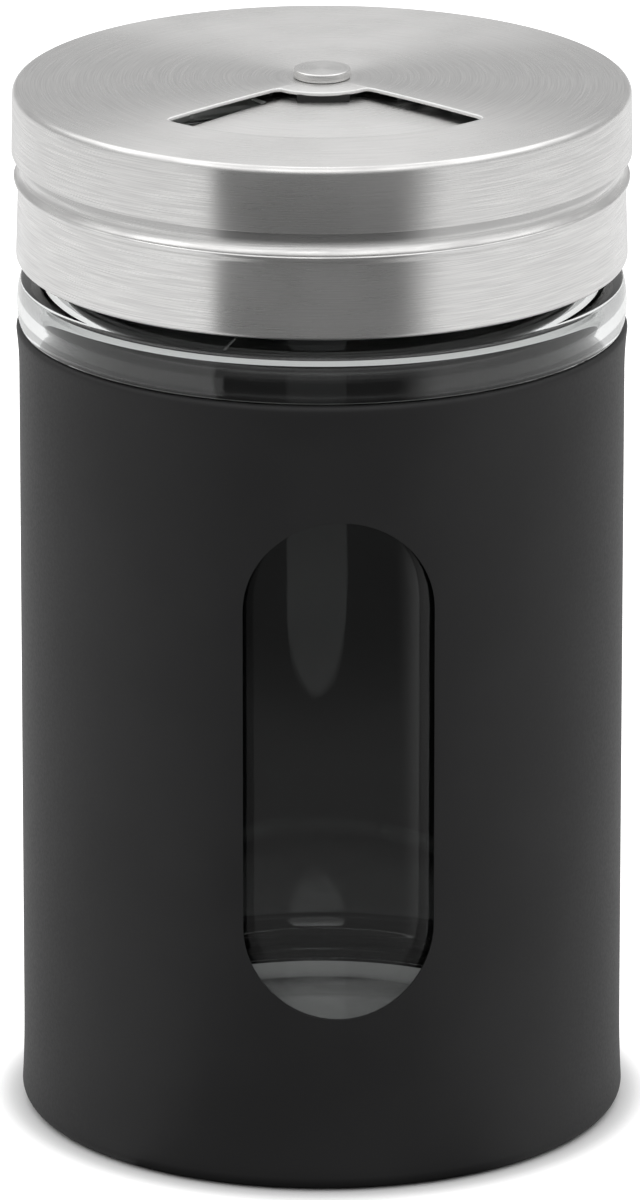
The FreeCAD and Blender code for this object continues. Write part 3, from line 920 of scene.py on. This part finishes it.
@dataclass
class Jar:
    """The blown glass jar with its threaded neck."""

    base: float = 0.45
    radius: float = 30.6
    cavity: float = 28.2
    heel: float = 4.0
    floor: float = 7.45
    floor_round: float = 3.0
    punt: float = 21.0
    punt_rise: float = 0.9
    seat: float = 84.9
    shoulder: float = 31.55
    bead_round: float = 8.7
    bead_rise: float = 2.0
    bead_top: float = 2.8
    bead_edge: float = 0.7
    shoulder_rise: float = 1.4
    neck_fillet: float = 1.2
    neck: float = 26.9
    mouth: float = 24.2
    rim: float = 106.4
    rim_round: float = 0.7
    throat: float = 86.3
    throat_height: float = 5.0
    thread_pitch: float = 5.0
    thread_turns: float = 1.25
    thread_depth: float = 1.2
    thread_crest: float = 1.0
    thread_root: float = 2.2
    thread_drop: float = 3.1
    thread_fade: float = 0.09
    thread_bite: float = 0.3
    thread_chamfer: float = 0.3
    thread_flank: float = 0.15
    thread_round: float = 0.75
    thread_sink: float = 0.15

    def draw_shoulder(self, outline: Outline) -> None:
        """Draw the bead's side, the shoulder's edge and its slope up to the neck.

        Args:
            outline: The jar's profile, drawn up to the wall under the bead.
        """
        centre = Vector((self.shoulder - self.bead_round, self.seat + self.bead_rise))
        seat_reach = sqrt(self.bead_round**2 - self.bead_rise**2)
        side = Vector((sqrt(self.bead_round**2 - self.bead_top**2), self.bead_top))
        edge = centre + side
        foot = Vector((self.neck, edge.y + self.shoulder_rise))
        below = edge + Vector((side.y, -side.x))
        start, end = rounding(edge, below, foot, self.bead_edge)
        mouth = Vector((self.neck, self.rim))
        slope_end, neck_start = rounding(foot, edge, mouth, self.neck_fillet)
        outline.run((self.radius, self.seat), (centre.x + seat_reach, self.seat))
        outline.arc(tuple(start), self.bead_round, LEFT, 14)
        outline.arc(tuple(end), self.bead_edge, LEFT, 5)
        outline.run(tuple(slope_end))
        outline.arc(tuple(neck_start), self.neck_fillet, RIGHT, 6)

    def blown(self) -> Object:
        """Turn the jar's wall."""
        taper = self.cavity - self.mouth
        throat_round = s_radius(taper, self.throat_height)
        throat_top = self.throat + self.throat_height
        inner_floor = self.cavity - self.floor_round
        punt = chord_radius(self.punt, self.punt_rise)
        dome = chord_radius(inner_floor, self.punt_rise)
        edge = self.rim_round
        outline = Outline((0, self.base + self.punt_rise))
        outline.arc((self.punt, self.base), punt, RIGHT, 10)
        outline.run((self.radius - self.heel, self.base))
        outline.arc((self.radius, self.base + self.heel), self.heel, LEFT, 10)
        self.draw_shoulder(outline)
        outline.run((self.neck, self.rim - edge))
        outline.arc((self.neck - edge, self.rim), edge, LEFT, 5)
        outline.run((self.mouth + edge, self.rim))
        outline.arc((self.mouth, self.rim - edge), edge, LEFT, 5)
        outline.run((self.mouth, throat_top))
        middle = (self.mouth + taper / 2, self.throat + self.throat_height / 2)
        outline.arc(middle, throat_round, LEFT, 10)
        outline.arc((self.cavity, self.throat), throat_round, RIGHT, 10)
        outline.run((self.cavity, self.floor + self.floor_round))
        outline.arc((inner_floor, self.floor), self.floor_round, RIGHT, 10)
        outline.arc((0, self.floor + self.punt_rise), dome, LEFT, 10)
        return outline.lathe("glass_jar_blown")

    def thread(self) -> Object:
        """Sweep the neck's thread, whose ends fade into the glass."""
        root, crest = self.neck - self.thread_bite, self.neck + self.thread_depth
        top = self.rim - self.thread_drop
        bottom = top - self.thread_pitch * self.thread_turns
        half_root, half_crest = self.thread_root / 2, self.thread_crest / 2
        outline = Outline((root, bottom - half_root))
        shy, half_top = crest - self.thread_chamfer, half_crest + self.thread_flank
        outline.run((shy, bottom - half_top))
        outline.arc((crest, bottom), self.thread_round, LEFT, 4)
        outline.arc((shy, bottom + half_top), self.thread_round, LEFT, 4)
        outline.run((root, bottom + half_root)).close()
        mesh = outline.mesh
        bmesh.ops.remove_doubles(mesh, verts=mesh.verts[:], dist=WELD)
        turns = self.thread_turns + 2 * self.thread_fade
        steps = round(turns * ROUND_STEPS)
        lift = self.thread_pitch * MM
        back = Matrix.Rotation(-self.thread_fade * tau, 3, "Z")
        bmesh.ops.rotate(mesh, cent=(0, 0, 0), matrix=back, verts=mesh.verts[:])
        bmesh.ops.translate(mesh, vec=(0, 0, -self.thread_fade * lift), verts=mesh.verts[:])
        bmesh.ops.contextual_create(mesh, geom=mesh.edges[:])
        start = mesh.faces[:] + mesh.edges[:] + mesh.verts[:]
        bmesh.ops.spin(
            mesh, geom=start, cent=(0, 0, 0), axis=(0, 0, 1), dvec=(0, 0, lift / ROUND_STEPS),
            angle=turns * tau, steps=steps, use_duplicate=False,
        )
        self.fade(mesh, bottom, turns)
        bmesh.ops.recalc_face_normals(mesh, faces=mesh.faces[:])
        return as_piece(mesh, "neck_thread")

    def fade(self, mesh: bmesh.types.BMesh, bottom: float, turns: float) -> None:
        """Draw the thread's two ends into the neck.

        Args:
            mesh: The thread.
            bottom: Height of its lower end, in millimetres.
            turns: Its whole length, in turns.
        """
        low = bottom - self.thread_fade * self.thread_pitch
        for vert in mesh.verts:
            radius = hypot(vert.co.x, vert.co.y)
            angle = (atan2(vert.co.y, vert.co.x) / tau + self.thread_fade) % 1.0
            whole = round((vert.co.z / MM - low) / self.thread_pitch - angle)
            along = whole + angle
            near = min(along, turns - along) / self.thread_fade
            if near < 1:
                drop = (1 - max(near, 0.0)) * (self.thread_depth + self.thread_sink) * MM
                scale = (radius - drop) / radius
                vert.co.x *= scale
                vert.co.y *= scale

    def build(self, finishes: Finishes) -> None:
        """Make the jar and dress it."""
        jar = self.blown()
        paint(jar, finishes.glass)
        thread = self.thread()
        paint(thread, finishes.glass)
        combine(jar, thread, "UNION")
        smooth(jar, 50.0)
        settle(jar, "jar", "clear_glass", "glass_jar")


@dataclass
class SifterLid:
    """The pressed screw lid with its plate of four quarters."""

    rim: float = 108.7
    gauge: float = 0.4
    dome: float = 0.8
    land: float = 7.0
    bore: float = 1.63
    collar: float = 30.95
    corner: float = 1.2
    collar_depth: float = 6.8
    swell: float = 0.41
    swell_depth: float = 2.5
    bead: float = 0.42
    bead_drop: float = 1.55
    bead_nose: float = 0.18
    bead_nose_round: float = 0.27
    draft: float = 0.24
    skirt_depth: float = 17.1
    hem_round: float = 0.6
    hem_reach: float = 1.35
    turn: float = 4.0
    pour_inner: float = 8.0
    pour_outer: float = 20.5
    pour_half: float = 40.0
    pour_corner: float = 1.5
    spread: float = 66.0
    coarse_hole: float = 1.8
    coarse_rings: tuple[int, ...] = (3, 4, 6)
    fine_hole: float = 1.0
    fine_rings: tuple[int, ...] = (4, 5, 7, 8)
    hole_steps: int = 28
    punch_depth: float = 4.0

    def cup(self) -> Object:
        """Turn the pressed cup."""
        gauge, step = self.gauge, self.rim - self.collar_depth
        hem = self.rim - self.skirt_depth
        crown = self.rim + self.dome
        edge = self.collar - self.corner
        swollen = self.collar + self.swell
        skirt = swollen + self.draft
        dome = chord_radius(edge - self.land, self.dome)
        swell = s_radius(self.swell, self.swell_depth)
        inner_middle = (self.collar + self.swell / 2 - gauge, step - self.swell_depth / 2)
        outline = Outline((self.bore, crown))
        outline.run((self.land, crown))
        outline.arc((edge, self.rim), dome, RIGHT, 14)
        outline.arc((self.collar, self.rim - self.corner), self.corner, RIGHT, 8)
        outline.run((self.collar, step))
        self.draw_bead(outline, step)
        outline.run((skirt, hem + self.hem_round))
        outline.arc((skirt - self.hem_round, hem), self.hem_round, RIGHT, 6)
        outline.run((skirt - self.hem_reach, hem), (skirt - self.hem_reach, hem + gauge))
        outline.run((skirt - self.hem_round, hem + gauge))
        outline.arc((skirt - gauge, hem + self.hem_round), self.hem_round - gauge, LEFT, 3)
        outline.run((swollen - gauge, step - self.swell_depth))
        outline.arc(inner_middle, swell, LEFT, 6)
        outline.arc((self.collar - gauge, step), swell, RIGHT, 6)
        outline.run((self.collar - gauge, self.rim - self.corner))
        outline.arc((edge, self.rim - gauge), self.corner - gauge, LEFT, 5)
        outline.arc((self.land, crown - gauge), dome, LEFT, 14)
        outline.run((self.bore, crown - gauge))
        return outline.close().lathe("sifter_lid_pressed")

    def draw_bead(self, outline: Outline, step: float) -> None:
        """Draw the rolled bead that runs out under the collar and back in to the skirt.

        Args:
            outline: The cup's profile, drawn down to the collar's foot.
            step: Height of the collar's foot.
        """
        swollen = self.collar + self.swell
        crest = swollen + self.bead
        drop = self.bead_drop
        rise = self.swell_depth - drop
        nose = self.bead_nose
        flare = chord_radius(drop - nose, crest - nose - self.collar)
        outline.arc((crest - nose, step - drop + nose), flare, LEFT, 8)
        outline.arc((crest, step - drop), self.bead_nose_round, RIGHT, 5)
        inward = s_radius(self.bead, rise)
        outline.arc((crest - self.bead / 2, step - drop - rise / 2), inward, RIGHT, 5)
        outline.arc((swollen, step - self.swell_depth), inward, LEFT, 5)

    def holes(self, hole: float, rings: Sequence[int], turned: float) -> Iterable[Matrix]:
        """Places of one quarter's holes.

        Args:
            hole: The holes' radius.
            rings: How many holes each ring has.
            turned: Where the quarter's middle is, in degrees from -Y.

        Yields:
            The place of each hole.
        """
        room = self.pour_outer - self.pour_inner
        for ring, count in enumerate(rings):
            radius = self.pour_inner + room * (ring + 0.5) / len(rings)
            for number in range(count):
                angle = radians(turned + self.spread * (number / (count - 1) - 0.5))
                spot = Vector((radius * sin(angle), -radius * cos(angle), self.rim)) * MM
                size = Matrix.Diagonal((hole * MM, hole * MM, self.punch_depth * MM, 1))
                yield Matrix.Translation(spot) @ size

    def punch(self) -> Object:
        """Make the tool that punches the sifting holes."""
        mesh = bmesh.new()
        quarters = (
            (self.coarse_hole, self.coarse_rings, self.turn + 180),
            (self.fine_hole, self.fine_rings, self.turn + 90),
        )
        for hole, rings, turned in quarters:
            for place in self.holes(hole, rings, turned):
                bmesh.ops.create_cone(
                    mesh, cap_ends=True, segments=self.hole_steps, radius1=1, radius2=1, depth=1,
                    matrix=place,
                )
        return as_piece(mesh, "punch_tool")

    def build(self, finishes: Finishes) -> None:
        """Make the lid and dress it."""
        cup = self.cup()
        # The faces cut by the tools take the edge material, with its painted highlight.
        paint(cup, finishes.lid, finishes.cut_edge_highlight)
        pour = sector_outline(self.pour_inner, self.pour_outer, self.pour_half, self.pour_corner)
        low, high = self.rim - CUT_REACH, self.rim + CUT_REACH
        for tool in (pour.prism("pour_tool", low, high, self.turn - 90), self.punch()):
            paint(tool, finishes.cut_edge_highlight)
            combine(cup, tool, "DIFFERENCE")
        smooth(cup)
        settle(cup, "lid", "lid_steel", "sifter_lid")


@dataclass
class DialCap:
    """The pressed rotary cap with its one opening."""

    crown: float = 110.6
    gauge: float = 0.4
    dome: float = 0.8
    land: float = 7.0
    bore: float = 1.65
    radius: float = 32.0
    draft: float = 0.12
    corner: float = 0.7
    depth: float = 6.85
    foot_round: float = 0.08
    turn: float = -2.0
    opening_inner: float = 6.2
    opening_outer: float = 22.0
    opening_half: float = 47.5
    opening_corner: float = 0.8
    # Width of the rounded opening edge that carries the painted highlight.
    highlight_edge_width: float = 0.13

    def cap(self) -> Object:
        """Turn the pressed cap."""
        rim, gauge = self.crown - self.dome, self.gauge
        top = self.radius - self.draft
        edge = top - self.corner
        foot = rim - self.depth
        dome = chord_radius(edge - self.land, self.dome)
        outline = Outline((self.bore, self.crown))
        outline.run((self.land, self.crown))
        outline.arc((edge, rim), dome, RIGHT, 14)
        outline.arc((top, rim - self.corner), self.corner, RIGHT, 10)
        outline.run((self.radius, foot + self.foot_round))
        outline.arc((self.radius - self.foot_round, foot), self.foot_round, RIGHT, 3)
        outline.run((self.radius - gauge, foot))
        outline.run((top - gauge, rim - self.corner))
        outline.arc((edge, rim - gauge), self.corner - gauge, LEFT, 6)
        outline.arc((self.land, self.crown - gauge), dome, LEFT, 14)
        outline.run((self.bore, self.crown - gauge))
        return outline.close().lathe("dial_cap_pressed")

    def build(self, finishes: Finishes) -> None:
        """Make the cap and dress it."""
        cap = self.cap()
        paint(cap, finishes.cap, finishes.cut_edge_highlight)
        opening = sector_outline(
            self.opening_inner, self.opening_outer, self.opening_half, self.opening_corner
        )
        low, high = self.crown - CUT_REACH, self.crown + CUT_REACH
        tool = opening.prism("opening_tool", low, high, self.turn)
        paint(tool, finishes.cut_edge_highlight)
        combine(cap, tool, "DIFFERENCE")
        # The rounded opening edge takes the edge material, a painted highlight.
        bevel_edges(cap, parts_materials, self.highlight_edge_width, 3, material=1)
        smooth(cap)
        settle(cap, "dial", "cap_steel", "dial_cap")


@dataclass
class Rivet:
    """The pin on which the cap turns."""

    foot: float = 107.9
    clinch: float = 108.6
    seat: float = 110.65
    head: float = 111.55
    pin: float = 1.6
    head_radius: float = 2.95
    foot_radius: float = 2.6
    corner: float = 0.16
    underside: float = 0.1

    def build(self, finishes: Finishes) -> None:
        """Make the rivet and dress it."""
        corner = self.corner
        outline = Outline((0, self.foot))
        outline.run((self.foot_radius - corner, self.foot))
        outline.arc((self.foot_radius, self.foot + corner), corner, LEFT, 4)
        outline.run((self.foot_radius, self.clinch), (self.pin, self.clinch), (self.pin, self.seat))
        outline.run((self.head_radius - self.underside, self.seat))
        outline.arc((self.head_radius, self.seat + self.underside), self.underside, LEFT, 3)
        outline.run((self.head_radius, self.head - corner))
        outline.arc((self.head_radius - corner, self.head), corner, LEFT, 6)
        outline.run((0, self.head))
        rivet = outline.lathe("centre_rivet_set", steps=72)
        paint(rivet, finishes.rivet)
        smooth(rivet)
        settle(rivet, "lid", "rivet_steel", "centre_rivet")


# The studio


@dataclass
class Studio:
    """Floor, light tent and camera."""

    turned: float = 3.3
    distance: float = 1183.8
    height: float = 435.3
    pitch: float = 17.85
    focal_pixels: float = 11929.1
    image_height: float = 1200.0
    sensor: float = 36.0
    axis_pixels: float = 2.0
    front_left: float = -42.5
    front_right: float = 36.5
    tent: float = 0.7
    overhead: float = 2.3
    zenith: float = 1.3
    front: float = 0.33
    front_floor: float = 0.09
    near_dark: float = 0.88
    near_reach: float = 0.18
    floor_tone: float = 0.8
    floor_glow: float = 0.6
    mirror_tone: float = 0.6
    mirror_glow: float = 0.22
    foot_glow: float = 0.13
    floor_reach: float = 6.0
    foot_radius: float = 31.4
    foot_fade: float = 4.5
    near_fade: Pair = (0.9, 1.15)
    left_fade: Pair = (-1.0, 1.0)
    right_fade: Pair = (-12.0, 7.0)
    front_fade: Pair = (0.12, 0.28)
    roof_fade: Pair = (0.4, 0.8)
    zenith_fade: Pair = (0.84, 0.96)

    def camera(self) -> None:
        """Set up the camera where the photograph's stood."""
        data = bpy.data.cameras.new("photo_camera")
        data.sensor_width = self.sensor
        data.lens = self.focal_pixels * self.sensor / self.image_height
        data.clip_start = 0.05
        data.clip_end = 50.0
        camera = bpy.data.objects.new("photo_camera", data)
        away = radians(self.turned)
        reach = self.distance * MM
        camera.location = (-sin(away) * reach, -cos(away) * reach, self.height * MM)
        yaw = -away + self.axis_pixels / self.focal_pixels
        camera.rotation_euler = (radians(90 - self.pitch), 0, yaw)
        bpy.context.scene.collection.objects.link(camera)
        bpy.context.scene.camera = camera

    def front_mask(self, nodes: Nodes, x: object, y: object) -> Socket:
        """Mark the dark front, which has a sharp left edge and a soft right one.

        Args:
            nodes: The builder of the world or the floor.
            x: The direction or place to the right.
            y: The direction or place to the back.

        Returns:
            The socket of the mask, 1 in front.
        """
        bearing = nodes.math("ARCTAN2", x, nodes.math("MULTIPLY", y, -1.0))
        bearing = nodes.math("MULTIPLY", bearing, DEGREES)
        left = nodes.ramp(bearing, *(self.front_left + fade for fade in self.left_fade))
        sides = (self.front_right + fade for fade in self.right_fade)
        right = nodes.ramp(bearing, *sides, 1.0, 0.0)
        return nodes.math("MULTIPLY", left, right)

    def floor(self) -> None:
        """Lay a white floor, which is dark in front for all rays but the camera's own, with a
        painted contact shadow round the foot and a painted glow under it.
        """
        mesh = bmesh.new()
        bmesh.ops.create_grid(mesh, x_segments=1, y_segments=1, size=self.floor_reach)
        floor = as_piece(mesh, "floor")
        material = bpy.data.materials.new("floor_paper")
        material.use_nodes = True
        nodes = Nodes(material.node_tree)
        x, y, _ = nodes.spot()
        radius = nodes.radius(x, y)
        foot = self.foot_radius
        # Painted contact shadow: the floor's glow fades out towards the foot.
        clear = nodes.ramp(radius, foot * MM, (foot + self.foot_fade) * MM)
        near = (self.near_reach * fade for fade in self.near_fade)
        beyond = nodes.ramp(radius, *near, self.near_dark, 1.0)
        path = nodes.add("ShaderNodeLightPath")
        mirrored = nodes.math("SUBTRACT", 1.0, path.outputs["Is Camera Ray"])
        dark = nodes.math("MULTIPLY", self.front_mask(nodes, x, y), mirrored)
        dark = nodes.math("MULTIPLY", dark, beyond)
        paper = nodes.add("ShaderNodeBsdfDiffuse")
        plain, mirror, shade = (
            (tone, tone, tone, 1) for tone in (self.floor_tone, self.mirror_tone, self.front_floor)
        )
        lit = nodes.mix(mirrored, plain, mirror)
        nodes.feed(paper.inputs["Color"], nodes.mix(dark, lit, shade))
        glow = nodes.add("ShaderNodeEmission")
        direct = nodes.math("MULTIPLY", path.outputs["Is Camera Ray"], self.floor_glow)
        glossy = nodes.math("MULTIPLY", path.outputs["Is Glossy Ray"], self.mirror_glow)
        seen = nodes.math("MULTIPLY", nodes.math("MAXIMUM", direct, glossy), clear)
        seen = nodes.math("MULTIPLY", seen, nodes.math("SUBTRACT", 1.0, dark))
        # Painted light under the foot: the floor glows there for rays that come through the glass.
        under = nodes.math("MULTIPLY", path.outputs["Is Transmission Ray"], self.foot_glow)
        under = nodes.math("MULTIPLY", under, nodes.math("SUBTRACT", 1.0, clear))
        nodes.feed(glow.inputs["Strength"], nodes.math("ADD", seen, under))
        both = nodes.add("ShaderNodeAddShader")
        nodes.feed(both.inputs[0], paper.outputs[0])
        nodes.feed(both.inputs[1], glow.outputs[0])
        output = nodes.add("ShaderNodeOutputMaterial")
        nodes.feed(output.inputs["Surface"], both.outputs[0])
        paint(floor, material)

    def light(self) -> None:
        """Light the shaker from a white tent with a brighter roof and a dark front."""
        world = bpy.data.worlds.new("light_tent")
        bpy.context.scene.world = world
        world.use_nodes = True
        nodes = Nodes(world.node_tree)
        x, y, z = nodes.spot("Generated")
        low = nodes.ramp(z, *self.front_fade, 1.0, 0.0)
        dark = nodes.math("MULTIPLY", self.front_mask(nodes, x, y), low)
        roof = nodes.ramp(z, *self.roof_fade, self.tent, self.overhead)
        top = nodes.ramp(z, *self.zenith_fade, 0.0, self.overhead - self.zenith)
        roof = nodes.math("SUBTRACT", roof, top)
        tent = nodes.math("SUBTRACT", roof, nodes.math("MULTIPLY", dark, self.tent - self.front))
        strength = nodes.add("ShaderNodeMix", data_type="FLOAT")
        path = nodes.add("ShaderNodeLightPath")
        nodes.feed(strength.inputs["Factor"], path.outputs["Is Camera Ray"])
        nodes.feed(strength.inputs[2], tent)
        nodes.feed(strength.inputs[3], 1.0)
        background = nodes.add("ShaderNodeBackground")
        nodes.feed(background.inputs["Strength"], strength.outputs[0])
        output = nodes.add("ShaderNodeOutputWorld")
        nodes.feed(output.inputs["Surface"], background.outputs[0])

    def build(self) -> None:
        """Set up the studio."""
        self.camera()
        self.floor()
        self.light()
        bpy.context.scene.view_settings.view_transform = "Standard"


def dress_nodes(nodes: dict[str, Object], finishes: Finishes) -> None:
    """Give the CAD nodes that stay their finishes.

    Args:
        nodes: The CAD nodes by name.
        finishes: The shaker's finishes.
    """
    dressing = {
        "thread_insert": finishes.insert,
        "seal_ring": finishes.seal,
        "dial_spacer": finishes.spacer,
        "backing_washer": finishes.rivet,
    }
    for name, material in dressing.items():
        for slot in nodes[name].material_slots:
            slot.material = material
        LOG.info("%s: dressed in %s", name, material.name)


def main() -> None:
    """Build the shaker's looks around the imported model."""
    logging.basicConfig(level=logging.INFO, format="%(message)s")
    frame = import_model()
    finishes = Finishes()
    Studio().build()
    Sleeve().build(finishes)
    Jar().build(finishes)
    SifterLid().build(finishes)
    DialCap().build(finishes)
    Rivet().build(finishes)
    dress_nodes(frame["nodes"], finishes)


if __name__ == "__main__":
    main()
